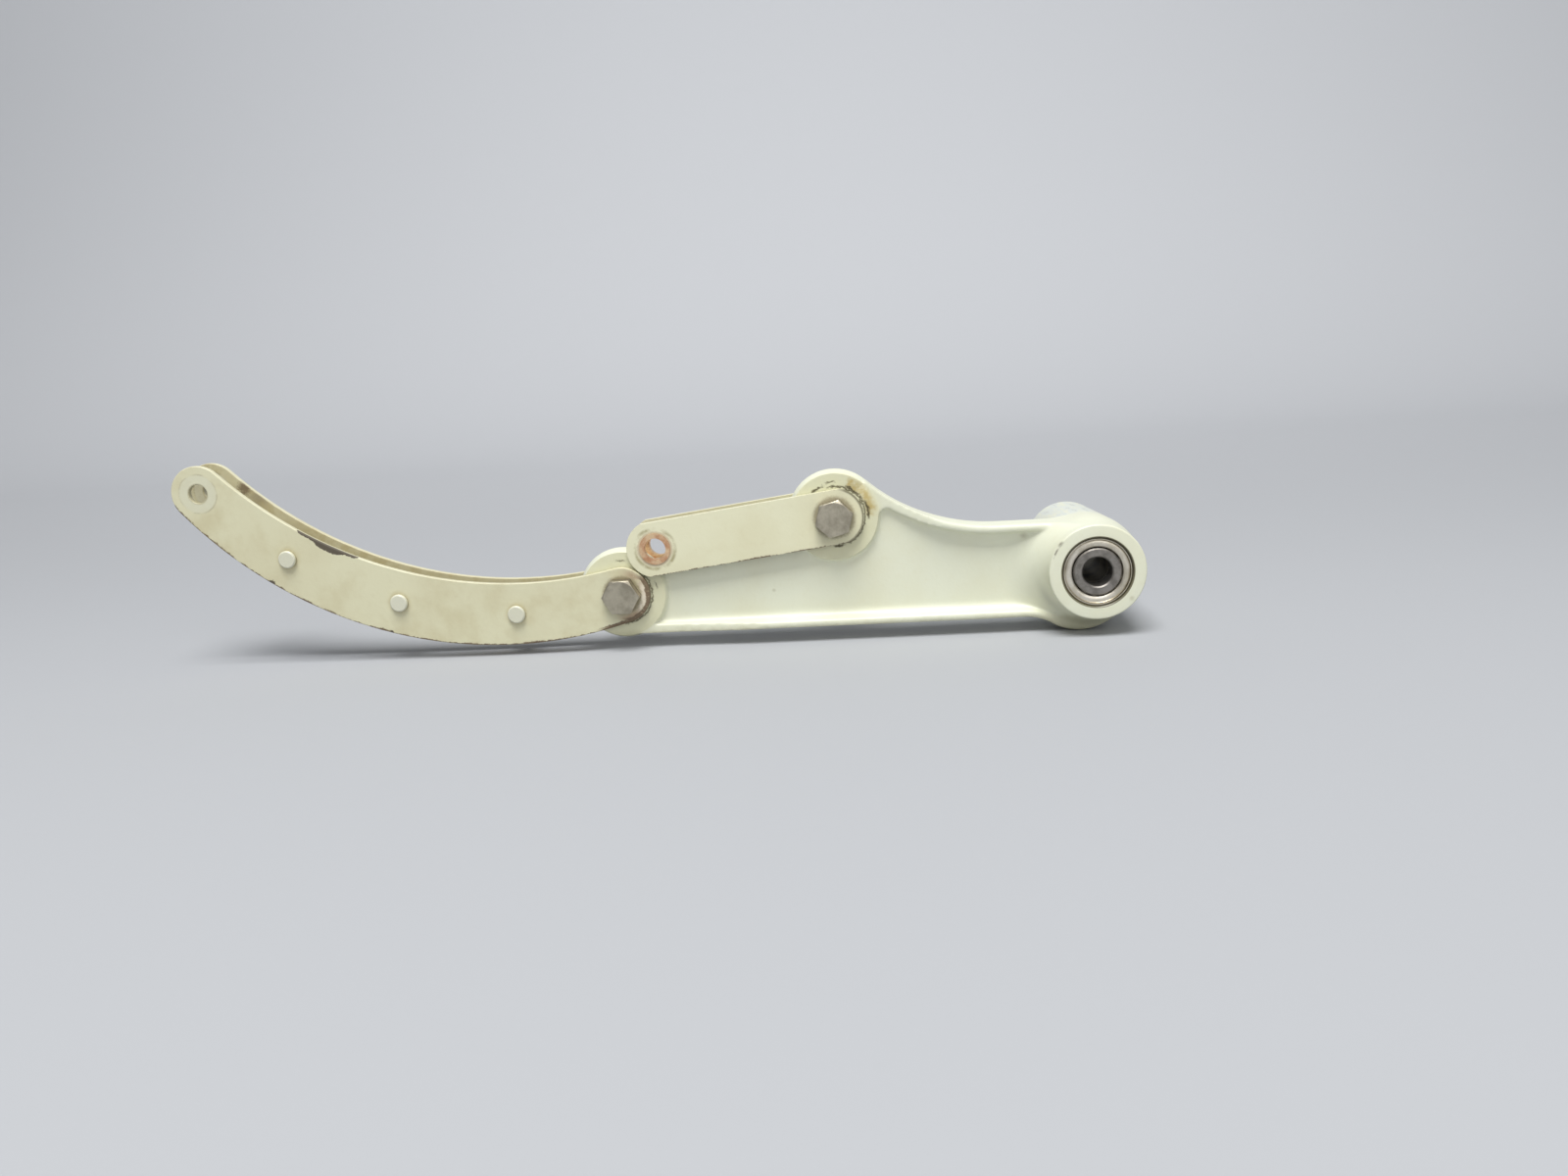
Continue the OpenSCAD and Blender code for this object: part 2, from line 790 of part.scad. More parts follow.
// A leg of the cotter pin: a quarter bend from along -X towards +Y, then straight
module cotter_leg(length) {
    translate([-cotter_reach, leg_off + leg_bend_r, 0]) {
        rotate([0, 0, 180])
            rotate_extrude(angle = 90)
                translate([leg_bend_r, 0])
                    circle(leg_r, $fn = wire_fn);
        translate([-leg_bend_r, 0, 0])
            rotate([-90, 0, 0])
                cylinder(r = leg_r, h = length, $fn = wire_fn);
    }
}

// Cotter pin: an eye, a shank through nut and bolt, one leg over the bolt's end and one along the nut
module cotter_pin(at) {
    bend_top = leg_off + leg_bend_r;
    color(bright_steel)
        translate([at[0], cotter_y, at[1]]) {
            translate([-cotter_reach, 0, 0])
                rotate([0, 90, 0])
                    cylinder(r = cotter_r, h = 2 * cotter_reach);
            translate([cotter_reach + cotter_r, 0, 0])
                rotate_extrude()
                    translate([cotter_d, 0])
                        circle(leg_r, $fn = wire_fn);
            cotter_leg(bolt_end_y + leg_clear - cotter_y - bend_top);
            mirror([0, 1, 0])
                cotter_leg(cotter_y - bend_top - plate_out_y - leg_clear);
        }
}

module lower_pivot_bolt() {
    pivot_bolt(lower_boss, 0);
}

module lower_pivot_washer() {
    pivot_washer(lower_boss);
}

module lower_pivot_nut() {
    castle_nut(lower_boss);
}

module lower_pivot_cotter_pin() {
    cotter_pin(lower_boss);
}

// Outline of a short link plate: a strip with nearly round ends
module short_link_outline() {
    translate(upper_boss)
        rotate(short_link_slope)
            polygon(concat(
                arc([0, 0], short_end_r, -short_end_angle, short_end_angle, link_end_steps),
                arc([-short_link_len, 0], short_end_r, 180 - short_end_angle, 180 + short_end_angle,
                    link_end_steps)));
}

module short_link_plate(y0) {
    color(paint)
        difference() {
            along_y(y0, y0 + plate_t)
                short_link_outline();
            pin_y(upper_boss, plate_hole_r, y0 - past, y0 + plate_t + past);
            pin_y(short_free, link_bush_r + seat_gap, y0 - past, y0 + plate_t + past);
        }
}

module short_link_front_plate() {
    short_link_plate(-plate_out_y);
}

module short_link_rear_plate() {
    short_link_plate(plate_in_y);
}

module short_link_bushing(y0, y1) {
    color(bronze)
        difference() {
            pin_y(short_free, link_bush_r, y0, y1);
            pin_y(short_free, link_bush_bore / 2, y0 - past, y1 + past);
        }
}

module short_link_front_bushing() {
    short_link_bushing(-plate_out_y - link_bush_stand, -plate_in_y);
}

module short_link_rear_bushing() {
    short_link_bushing(plate_in_y, plate_out_y + link_bush_stand);
}

module upper_pivot_bolt() {
    pivot_bolt(upper_boss, upper_head_turn);
}

module upper_pivot_washer() {
    pivot_washer(upper_boss);
}

module upper_pivot_nut() {
    castle_nut(upper_boss);
}

module upper_pivot_cotter_pin() {
    cotter_pin(upper_boss);
}

bellcrank_arm();
upper_boss_bushing();
lower_boss_bushing();
front_bearing_outer_ring();
front_bearing_inner_ring();
front_bearing_balls();
front_bearing_shields();
rear_bearing_outer_ring();
rear_bearing_inner_ring();
rear_bearing_balls();
rear_bearing_shields();
bearing_spacer();
curved_link_front_plate();
curved_link_rear_plate();
curved_link_spacers();
curved_link_rivets();
lower_pivot_bolt();
lower_pivot_washer();
lower_pivot_nut();
lower_pivot_cotter_pin();
short_link_front_plate();
short_link_rear_plate();
short_link_front_bushing();
short_link_rear_bushing();
upper_pivot_bolt();
upper_pivot_washer();
upper_pivot_nut();
upper_pivot_cotter_pin();
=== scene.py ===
import json
import math

import bpy
from mathutils import Matrix, Vector


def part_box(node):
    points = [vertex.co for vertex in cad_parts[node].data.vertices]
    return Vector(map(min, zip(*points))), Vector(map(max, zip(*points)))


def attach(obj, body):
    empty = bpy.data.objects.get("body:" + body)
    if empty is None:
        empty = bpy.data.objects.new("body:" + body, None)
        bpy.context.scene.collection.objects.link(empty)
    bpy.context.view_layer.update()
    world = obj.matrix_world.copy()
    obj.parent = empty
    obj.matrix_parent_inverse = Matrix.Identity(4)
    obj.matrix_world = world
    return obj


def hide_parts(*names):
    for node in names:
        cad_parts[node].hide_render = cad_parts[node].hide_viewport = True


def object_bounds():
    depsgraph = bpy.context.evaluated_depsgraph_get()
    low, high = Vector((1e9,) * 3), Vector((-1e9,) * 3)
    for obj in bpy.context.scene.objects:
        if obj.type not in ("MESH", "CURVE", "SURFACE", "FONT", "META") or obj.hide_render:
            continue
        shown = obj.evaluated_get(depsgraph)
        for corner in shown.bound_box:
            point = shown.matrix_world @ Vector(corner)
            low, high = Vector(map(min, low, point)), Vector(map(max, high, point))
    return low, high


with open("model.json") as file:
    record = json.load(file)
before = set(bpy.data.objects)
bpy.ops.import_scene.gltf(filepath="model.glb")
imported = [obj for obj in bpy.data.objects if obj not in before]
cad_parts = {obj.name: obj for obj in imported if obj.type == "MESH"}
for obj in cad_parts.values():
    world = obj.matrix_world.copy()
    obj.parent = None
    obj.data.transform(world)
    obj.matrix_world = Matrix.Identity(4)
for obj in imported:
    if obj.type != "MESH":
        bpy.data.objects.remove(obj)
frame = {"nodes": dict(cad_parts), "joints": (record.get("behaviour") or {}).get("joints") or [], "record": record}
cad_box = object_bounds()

# Places and sizes, in metres, in the part's own frame
MM = 0.001
PIVOTS = {joint["name"]: Vector(joint["pos_m"]) for joint in frame["joints"]}
BORES = {mount["name"]: Vector(mount["pos_m"]) for mount in frame["record"]["mounts"]}
HUB = PIVOTS["hub_spin"]
LOWER = PIVOTS["curved_link_pivot"]
UPPER = PIVOTS["short_link_pivot"]
TIP = BORES["curved_link_tip_bore"]
FREE = BORES["short_link_bore"]
HUB_FRONT_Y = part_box("bellcrank_arm")[0].y
HUB_REAR_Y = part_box("bellcrank_arm")[1].y
PAD_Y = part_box("upper_boss_bushing")[1].y
PLATE_IN_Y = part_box("short_link_rear_plate")[0].y
PLATE_OUT_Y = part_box("short_link_rear_plate")[1].y
FLOOR_Z = cad_box[0].z
HUB_FACE_R = 15.3 * MM
HUB_REAR_R = 13.9 * MM
HUB_EDGE_R = 0.6 * MM
HUB_CORE_R = 9.5 * MM
PAD_R = 14.2 * MM
SEAT_GAP = 0.01 * MM
LINK_EDGE_R = 143 * MM
LINK_END_R = 9.4 * MM
SHORT_HALF_W = 9 * MM
RIVET_PITCH = math.radians(16.3)

# The photograph's camera, from pixels of its 1600 by 1200 frame
PHOTO_W, PHOTO_H = 1600, 1200
FOCAL_PX = 1225
HUB_AXIS_VANISHES = (884, 345)
HUB_FACE_CENTRE = (1120.7, 584)
HUB_FACE_R_PX = 49.4
PART_ROLL = math.radians(3.6)


# Modelling by hand, with angles in degrees

MERGE_GAP = 0.001 * MM
SLIVER = 0.01 * MM
FLAT_ANGLE = 0.5
SMOOTH_ANGLE = 35
SHARP_ANGLE = 38
BREAK_STEPS = 2
LATHE_SIDES = 128


def only(piece):
    """Selects one piece and nothing else."""
    bpy.ops.object.select_all(action="DESELECT")
    piece.select_set(True)
    bpy.context.view_layer.objects.active = piece


def edit_all():
    """Opens the active piece in edit mode with everything selected."""
    bpy.ops.object.mode_set(mode="EDIT")
    bpy.ops.mesh.select_all(action="SELECT")


def pick(piece, test):
    """Opens a piece in edit mode with the points selected for which a test holds."""
    only(piece)
    bpy.ops.object.mode_set(mode="EDIT")
    bpy.ops.mesh.select_mode(type="VERT")
    bpy.ops.mesh.select_all(action="DESELECT")
    bpy.ops.object.mode_set(mode="OBJECT")
    for vertex in piece.data.vertices:
        vertex.select = test(vertex.co)
    bpy.ops.object.mode_set(mode="EDIT")


def done_editing():
    """Closes edit mode."""
    bpy.ops.object.mode_set(mode="OBJECT")


def applied(piece, kind, **settings):
    """Adds a modifier with its settings and applies it."""
    only(piece)
    modifier = piece.modifiers.new(kind.lower(), kind)
    for name, value in settings.items():
        setattr(modifier, name, value)
    bpy.ops.object.modifier_apply(modifier=modifier.name)


def copied(node, name):
    """A copy of a solid's mesh with its loose triangles joined up."""
    piece = bpy.data.objects.new(name, frame["nodes"][node].data.copy())
    bpy.context.collection.objects.link(piece)
    only(piece)
    edit_all()
    bpy.ops.mesh.remove_doubles(threshold=MERGE_GAP)
    done_editing()
    return piece


def lathe(name, at, profile):
    """A round shape about an axis along Y: a disc that is extruded and resized from station to station."""
    radius, y = profile[0]
    bpy.ops.object.select_all(action="DESELECT")
    bpy.ops.mesh.primitive_circle_add(vertices=LATHE_SIDES, radius=radius, fill_type="NGON",
                                      location=(at.x, y, at.z), rotation=(math.pi / 2, 0, 0))
    piece = bpy.context.object
    piece.name = name
    bpy.ops.object.transform_apply(location=True, rotation=True, scale=True)
    edit_all()
    for next_radius, next_y in profile[1:]:
        bpy.ops.mesh.extrude_region_move(TRANSFORM_OT_translate={"value": (0, next_y - y, 0)})
        share = next_radius / radius
        bpy.ops.transform.resize(value=(share, 1, share), center_override=(at.x, next_y, at.z))
        radius, y = next_radius, next_y
    bpy.ops.mesh.select_all(action="SELECT")
    bpy.ops.mesh.normals_make_consistent(inside=False)
    done_editing()
    return piece


def cut(piece, tool):
    """Machines a piece with a tool shape, which is then thrown away."""
    applied(piece, "BOOLEAN", operation="DIFFERENCE", object=tool, solver="EXACT")
    bpy.data.objects.remove(tool)


def swept_clean(piece):
    """Takes away the slivers that machining leaves."""
    only(piece)
    edit_all()
    bpy.ops.mesh.dissolve_degenerate(threshold=SLIVER)
    bpy.ops.mesh.delete_loose()
    done_editing()


def smooth(piece, degrees=SMOOTH_ANGLE):
    """Shades a piece smooth, apart from edges sharper than an angle."""
    only(piece)
    bpy.ops.object.shade_smooth_by_angle(angle=math.radians(degrees))


def stands_for(piece, node, body, finish):
    """The piece is shown in place of a solid, rides on its body and has its finish."""
    piece.data.materials.clear()
    piece.data.materials.append(finish)
    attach(piece, body)
    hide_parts(node)


def softened(node, width, sharp=SHARP_ANGLE):
    """A copy of a solid with its edges broken where they are sharper than an angle."""
    piece = copied(node, node + "_finished")
    only(piece)
    edit_all()
    bpy.ops.mesh.dissolve_limited(angle_limit=math.radians(FLAT_ANGLE))
    done_editing()
    applied(piece, "BEVEL", width=width, segments=BREAK_STEPS, limit_method="ANGLE",
            angle_limit=math.radians(sharp), use_clamp_overlap=True)
    smooth(piece, min(sharp, SMOOTH_ANGLE))
    applied(piece, "WEIGHTED_NORMAL", keep_sharp=True)
    return piece


# The forged arm

VOXEL = 0.4 * MM
BLEND_FAR_X, BLEND_NEAR_X = -36 * MM, -24 * MM
HUB_STOCK = 1.5 * MM
PAD_STOCK = 0.25 * MM
CORE_WALL = 3 * MM
SMOOTHING = 0.5
EDGE_PASSES, MELT_PASSES = 3, 20
KEPT_SHARE = 0.45
ARM_SMOOTH_ANGLE = 32
TOOL_REACH = 3 * MM
FACING_WIDTH = 6 * MM
FACING_DEPTH = 1 * MM
FACING_GAP = 0.04 * MM
ROUNDING_STEP = 15
SEAT_CHAMFER = 0.25 * MM
PAD_MARGIN = 1 * MM
PAD_REACH = 2 * MM


def turned_end_tool(name, face_y, face_r, outward):
    """Faces off one end of the hub and rounds its edge."""
    clear_r = face_r + FACING_WIDTH
    shoulder = face_y - outward * FACING_DEPTH
    centre_r = face_r - HUB_EDGE_R
    centre_y = face_y - outward * HUB_EDGE_R
    angles = [math.radians(degrees) for degrees in range(0, 91, ROUNDING_STEP)]
    rounding = [(centre_r + HUB_EDGE_R * math.cos(angle), centre_y + outward * HUB_EDGE_R * math.sin(angle))
                for angle in angles]
    profile = [(clear_r, face_y + outward * TOOL_REACH), (clear_r, shoulder), (face_r + FACING_GAP, shoulder)]
    return lathe(name, HUB, profile + rounding)


def hub_seat_tool(node, face_y, outward):
    """Bores a bearing seat with a fine chamfer at its mouth."""
    low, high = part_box(node)
    seat_r = (high.x - low.x) / 2 + SEAT_GAP
    bottom = low.y if outward > 0 else high.y
    mouth_r = seat_r + SEAT_CHAMFER
    return lathe(node + "_seat", HUB, [(seat_r, bottom), (seat_r, face_y - outward * SEAT_CHAMFER),
                                       (mouth_r, face_y), (mouth_r, face_y + outward * TOOL_REACH)])


def hub_blend_weight(place):
    """How far a point of the forging is melted into the hub: 0 on the arm, 1 round the hub."""
    share = (place.x - BLEND_FAR_X) / (BLEND_NEAR_X - BLEND_FAR_X)
    return min(max(share, 0), 1)


def forged_arm(finish):
    """The arm as it is made: a forging with soft blends, then machined ends, seats, pads and bores."""
    arm = copied("bellcrank_arm", "forged_arm")
    core_r = HUB_CORE_R + CORE_WALL
    front_in = HUB_FRONT_Y + HUB_STOCK
    rear_in = HUB_REAR_Y - HUB_STOCK
    plugs = [lathe("hub_stock", HUB, [(HUB_FACE_R, HUB_FRONT_Y - HUB_STOCK), (HUB_FACE_R, front_in),
                                      (core_r, HUB_FRONT_Y + 2 * HUB_STOCK),
                                      (core_r, HUB_REAR_Y - 2 * HUB_STOCK),
                                      (HUB_REAR_R, rear_in), (HUB_REAR_R, HUB_REAR_Y + HUB_STOCK)])]
    for name, at in (("lower_stock", LOWER), ("upper_stock", UPPER)):
        plugs.append(lathe(name, at, [(PAD_R, -PAD_Y - PAD_STOCK), (PAD_R, PAD_Y + PAD_STOCK)]))
    only(arm)
    for plug in plugs:
        plug.select_set(True)
    bpy.ops.object.join()
    applied(arm, "REMESH", mode="VOXEL", voxel_size=VOXEL)
    melt = arm.vertex_groups.new(name="melt")
    for vertex in arm.data.vertices:
        melt.add([vertex.index], hub_blend_weight(vertex.co), "REPLACE")
    applied(arm, "SMOOTH", factor=SMOOTHING, iterations=EDGE_PASSES)
    applied(arm, "SMOOTH", factor=SMOOTHING, iterations=MELT_PASSES, vertex_group="melt")
    applied(arm, "DECIMATE", ratio=KEPT_SHARE)
    cut(arm, turned_end_tool("front_facing", HUB_FRONT_Y, HUB_FACE_R, -1))
    cut(arm, turned_end_tool("rear_facing", HUB_REAR_Y, HUB_REAR_R, 1))
    cut(arm, hub_seat_tool("front_bearing_outer_ring", HUB_FRONT_Y, -1))
    cut(arm, hub_seat_tool("rear_bearing_outer_ring", HUB_REAR_Y, 1))
    cut(arm, lathe("core", HUB, [(HUB_CORE_R, front_in), (HUB_CORE_R, rear_in)]))
    for node, at in (("lower_boss_bushing", LOWER), ("upper_boss_bushing", UPPER)):
        low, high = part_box(node)
        bore_r = (high.x - low.x) / 2 + SEAT_GAP
        for side in (-1, 1):
            cut(arm, lathe("pad_tool", at, [(PAD_R + PAD_MARGIN, side * PAD_Y),
                                            (PAD_R + PAD_MARGIN, side * (PAD_Y + PAD_REACH))]))
        cut(arm, lathe("bore_tool", at, [(bore_r, -2 * PAD_Y), (bore_r, 2 * PAD_Y)]))
    swept_clean(arm)
    arm.vertex_groups.clear()
    smooth(arm, ARM_SMOOTH_ANGLE)
    stands_for(arm, "bellcrank_arm", "arm", finish)


# Finishes

class Wire:
    """An output in a finish's node tree. Sums on values add Math nodes."""

    def __init__(self, tree, socket=None):
        self.tree = tree
        self.socket = socket

    def node(self, kind, settings=None, sockets=None, out=0):
        """Adds a node: its settings first, then the values or wires of its sockets."""
        made = self.tree.nodes.new(kind)
        for name, value in (settings or {}).items():
            setattr(made, name, value)
        for key, value in (sockets or {}).items():
            if isinstance(value, Wire):
                self.tree.links.new(value.socket, made.inputs[key])
            else:
                made.inputs[key].default_value = value
        return Wire(self.tree, made.outputs[out])

    def axis(self, name):
        """One value of a vector: X, Y or Z."""
        return self.node("ShaderNodeSeparateXYZ", {}, {0: self}, out=name)

    def sums(self, operation, *values):
        """A Math node on values or wires."""
        return self.node("ShaderNodeMath", {"operation": operation}, dict(enumerate(values)))

    def __add__(self, other):
        return self.sums("ADD", self, other)

    def __sub__(self, other):
        return self.sums("SUBTRACT", self, other)

    def __rsub__(self, other):
        return self.sums("SUBTRACT", other, self)

    def __mul__(self, other):
        return self.sums("MULTIPLY", self, other)

    def __pow__(self, other):
        return self.sums("POWER", self, other)

    def __abs__(self):
        return self.sums("ABSOLUTE", self)

    def __or__(self, other):
        return self.sums("MAXIMUM", self, other)

    __radd__ = __add__
    __rmul__ = __mul__


def tint(red, green, blue):
    """A colour as it looks on screen, 0 to 255, in the shader's own linear values."""
    def linear(value):
        share = value / 255
        return share / 12.92 if share <= 0.04045 else ((share + 0.055) / 1.055) ** 2.4
    return linear(red), linear(green), linear(blue), 1


CREAM = tint(222, 224, 202)
CREAM_DEEP = tint(216, 215, 187)
LINK_CREAM = tint(221, 219, 188)
LINK_CREAM_DEEP = tint(211, 206, 171)
LINK_TAN = tint(212, 209, 177)
LINK_TAN_DEEP = tint(202, 196, 162)
# Barrel film colours, partly painted sheen and shade:
FILM_AND_SHEEN_WHITE = tint(200, 208, 208)
FILM_AND_SHADE_GREY = tint(176, 174, 156)
# Grease, also used for painted shadow and shade:
GREASE_AND_SHADE = tint(74, 66, 36)
OLIVE = tint(138, 126, 78)
OCHRE = tint(178, 156, 88)
# Grime, also used for painted shade:
GRIME_AND_SHADE = tint(118, 104, 74)
RUST = tint(90, 66, 46)
# Painted shade in the hollow beside the hub:
HOLLOW_SHADE = tint(126, 128, 122)
RED_BROWN = tint(146, 104, 78)
WORN_BROWN = tint(112, 94, 72)
PAD_YELLOW = tint(204, 200, 156)
RIVET_GREY = tint(201, 201, 185)
RUBBED = tint(222, 214, 196)
SOIL = tint(172, 156, 108)
PRIMER = tint(88, 80, 66)
STEEL = tint(194, 187, 168)
STEEL_DULL = tint(160, 153, 136)
POLISHED = tint(228, 222, 208)
RING_STEEL = tint(150, 146, 140)
RING_STEEL_DARK = tint(122, 118, 112)
PLATING = tint(196, 186, 156)
PLATING_DULL = tint(168, 156, 122)
BRONZE = tint(240, 212, 174)
BRONZE_DULL = tint(208, 158, 122)
TIP_PALE = tint(204, 206, 192)
BUSH_BROWN = tint(176, 152, 124)
CARD_GREY = tint(168, 170, 173)
CARD_PALE = tint(206, 208, 211)

# Where the wear and the painted shade lie, in millimetres and degrees. A place is X and Z, an arc is its radius,
# its width and its two end angles. Any other pair is where a mark starts and where it is full, or its two sides.
# The barrel's pale film, partly painted sheen and shade:
BARREL_FILM_AND_SHEEN = (7, 15)
UPPER_PAD_RIM = (17, 13.5)
LOWER_PAD_RIM = (14.6, 14.1)
PAD_FACE = (2.9, 3.3)
# Thin strokes beside the links' ends: painted shadow with grease.
UPPER_SHADOW_LINES = ((10.0, 0.5, -62, 100),)
LOWER_SHADOW_LINES = ((9.9, 0.5, -80, 42),)
UPPER_BLOTS = ((10.6, 1.0, 18, 66), (11.2, 0.9, -5, 24), (10.7, 0.6, 104, 132))
LOWER_BLOTS = ((9.8, 0.7, -98, -68),)
UPPER_DASHES = ((11.5, 0.5, 87, 101), (9.8, 0.8, -92, -74))
LOWER_DASHES = ((11.5, 0.4, 83, 97), (11.7, 0.4, 8, 19))
UPPER_SMEAR = (12.2, 3.2, 0, 66)
HUB_FACE = (-14.4, -15.4)
HUB_CHIPS = ((14.9, 0.8, 138, 143), (14.8, 0.4, 147, 158))
# Painted shade round the bearing seat's mouth:
SEAT_GAP_SHADE = (11.7, 11.4)
HUB_SPOT = (10.4, -8.8)
# Painted shade in the hollow beside the hub, low on its front left:
HOLLOW_RING = (16.4, 18.6)
HOLLOW_ARC = (-160, -134)
HOLLOW_FRONT = (-3, -7)
# Painted shade in the corner under the upper flange, beside the hub:
FLANGE_CORNER_SHADE = (-21.4, 10.8)
WEB_SPOT = (-104.3, -3.7)
# Painted shade towards the bottom of the arm:
UNDERSIDE_SHADE = (-12.5, -15.5)
FRONT_PLATE = (-4.3, -4.9)
CHIP_MIDDLE = (-254.5, 18.3)
CHIP_TAILS = (-255, 18.5)
UPPER_NICK = (-275.2, 8)
LOWER_NICK = (-235.7, -11.4)
INNER_STAIN = (-285, 39.8)
INNER_CLOUD = (-280, 36.5)
REAR_PLATE_START = 2.5
RIVET_SOIL = (6.5, 3.5)


def new_finish(name, constants):
    """A material with its unchanging shader values, and the wire that its nodes are added from."""
    finish = bpy.data.materials.new(name)
    finish.use_nodes = True
    shader = finish.node_tree.nodes["Principled BSDF"]
    for socket, value in constants.items():
        shader.inputs[socket].default_value = value
    return finish, Wire(finish.node_tree)


def join_up(finish, **wires):
    """Leads wires into the shader's sockets."""
    shader = finish.node_tree.nodes["Principled BSDF"]
    for socket, wire in wires.items():
        finish.node_tree.links.new(wire.socket, shader.inputs[socket.replace("_", " ")])


def place_mm(start):
    """The place on the part as a vector in millimetres."""
    coords = start.node("ShaderNodeTexCoord", out="Object")
    return start.node("ShaderNodeVectorMath", {"operation": "SCALE"}, {0: coords, "Scale": 1 / MM})


def noise(place, size, detail=3, roughness=0.55, drift=0, stretch=(1, 1, 1)):
    """Cloudy variation from 0 to 1, with patches of a size in millimetres."""
    moved = place.node("ShaderNodeVectorMath", {"operation": "MULTIPLY_ADD"},
                       {0: place, 1: stretch, 2: (drift, drift * 0.7, -drift)})
    return place.node("ShaderNodeTexNoise", {}, {"Vector": moved, "Scale": 1 / size, "Detail": detail,
                                                 "Roughness": roughness})


def shaken(place, size, reach):
    """The place moved about by up to a reach in millimetres, which makes a mark's outline ragged."""
    jitter = place.node("ShaderNodeTexNoise", {}, {"Vector": place, "Scale": 1 / size, "Detail": 3},
                        out="Color")
    centred = place.node("ShaderNodeVectorMath", {"operation": "SUBTRACT"}, {0: jitter, 1: (0.5, 0.5, 0.5)})
    return place.node("ShaderNodeVectorMath", {"operation": "MULTIPLY_ADD"},
                      {0: centred, 1: (2 * reach, 2 * reach, 2 * reach), 2: place})


def ease(value, start, end):
    """Rises softly from 0 at one value to 1 at another, or falls where the first is the larger."""
    return value.node("ShaderNodeMapRange", {"interpolation_type": "SMOOTHSTEP"},
                      {"Value": value, "From Min": start, "From Max": end})


def window(value, low, high, soft):
    """1 between two values, falling to 0 over a soft margin."""
    return ease(value, low - soft, low + soft) * ease(value, high + soft, high - soft)


def blend(mask, under, over):
    """A colour over another, by a mask."""
    return mask.node("ShaderNodeMix", {"data_type": "RGBA"}, {0: mask, 6: under, 7: over}, out=2)


def bump(height, depth):
    """A surface normal from a height, with its depth in millimetres."""
    return height.node("ShaderNodeBump", {}, {"Distance": depth * MM, "Height": height})


def from_axis(place, at):
    """Distance in millimetres from an axis along Y."""
    across = place.axis("X") - at.x / MM
    above = place.axis("Z") - at.z / MM
    return (across * across + above * above) ** 0.5


def angle_round(place, at):
    """Angle in degrees round an axis along Y: 0 towards X, 90 upwards."""
    turn = place.axis("X").sums("ARCTAN2", place.axis("Z") - at.z / MM, place.axis("X") - at.x / MM)
    return turn * (180 / math.pi)


def arc_mark(place, at, radius, width, low, high, soft=0.3):
    """A mark along an arc round an axis, from its middle radius, width and end angles."""
    ring = window(from_axis(place, at), radius - width / 2, radius + width / 2, soft)
    return ring * window(angle_round(place, at), low, high, 4)


def arc_marks(place, at, arcs):
    """Several marks along arcs round one axis."""
    marks = arc_mark(place, at, *arcs[0])
    for arc in arcs[1:]:
        marks = marks | arc_mark(place, at, *arc)
    return marks


def from_place(place, at):
    """Distance in millimetres from a place given as X and Z."""
    return from_axis(place, Vector((at[0], 0, at[1])) * MM)


def spot(place, at, radius, ragged, soft):
    """A round mark with an uneven edge."""
    return ease(from_place(place, at) + (ragged - 0.5) * radius * 1.6, radius, radius - soft)


def paint(name, pale, deep, wear):
    """Semi-gloss enamel with slow mottling, fine dust and orange peel, and the wear and painted shade that a
    function adds.
    """
    finish, start = new_finish(name, {"IOR": 1.5, "Coat Roughness": 0.22})
    place = place_mm(start)
    dust = noise(place, 2.4, detail=4, roughness=0.6, drift=40)
    mottle = ease(noise(place, 30, detail=4), 0.35, 0.7) * 0.6 + ease(dust, 0.5, 0.8) * 0.3
    colour, bare = wear(place, blend(mottle, pale, deep))
    peel = noise(place, 1.0, detail=2, roughness=0.4, drift=9)
    gloss = 0.36 + 0.16 * noise(place, 9, detail=3, drift=70)
    join_up(finish, Base_Color=colour, Roughness=gloss + bare * 0.2, Coat_Weight=0.22 - bare * 0.22,
            Normal=bump(peel * 0.5 - bare * 0.9, 0.06))
    return finish


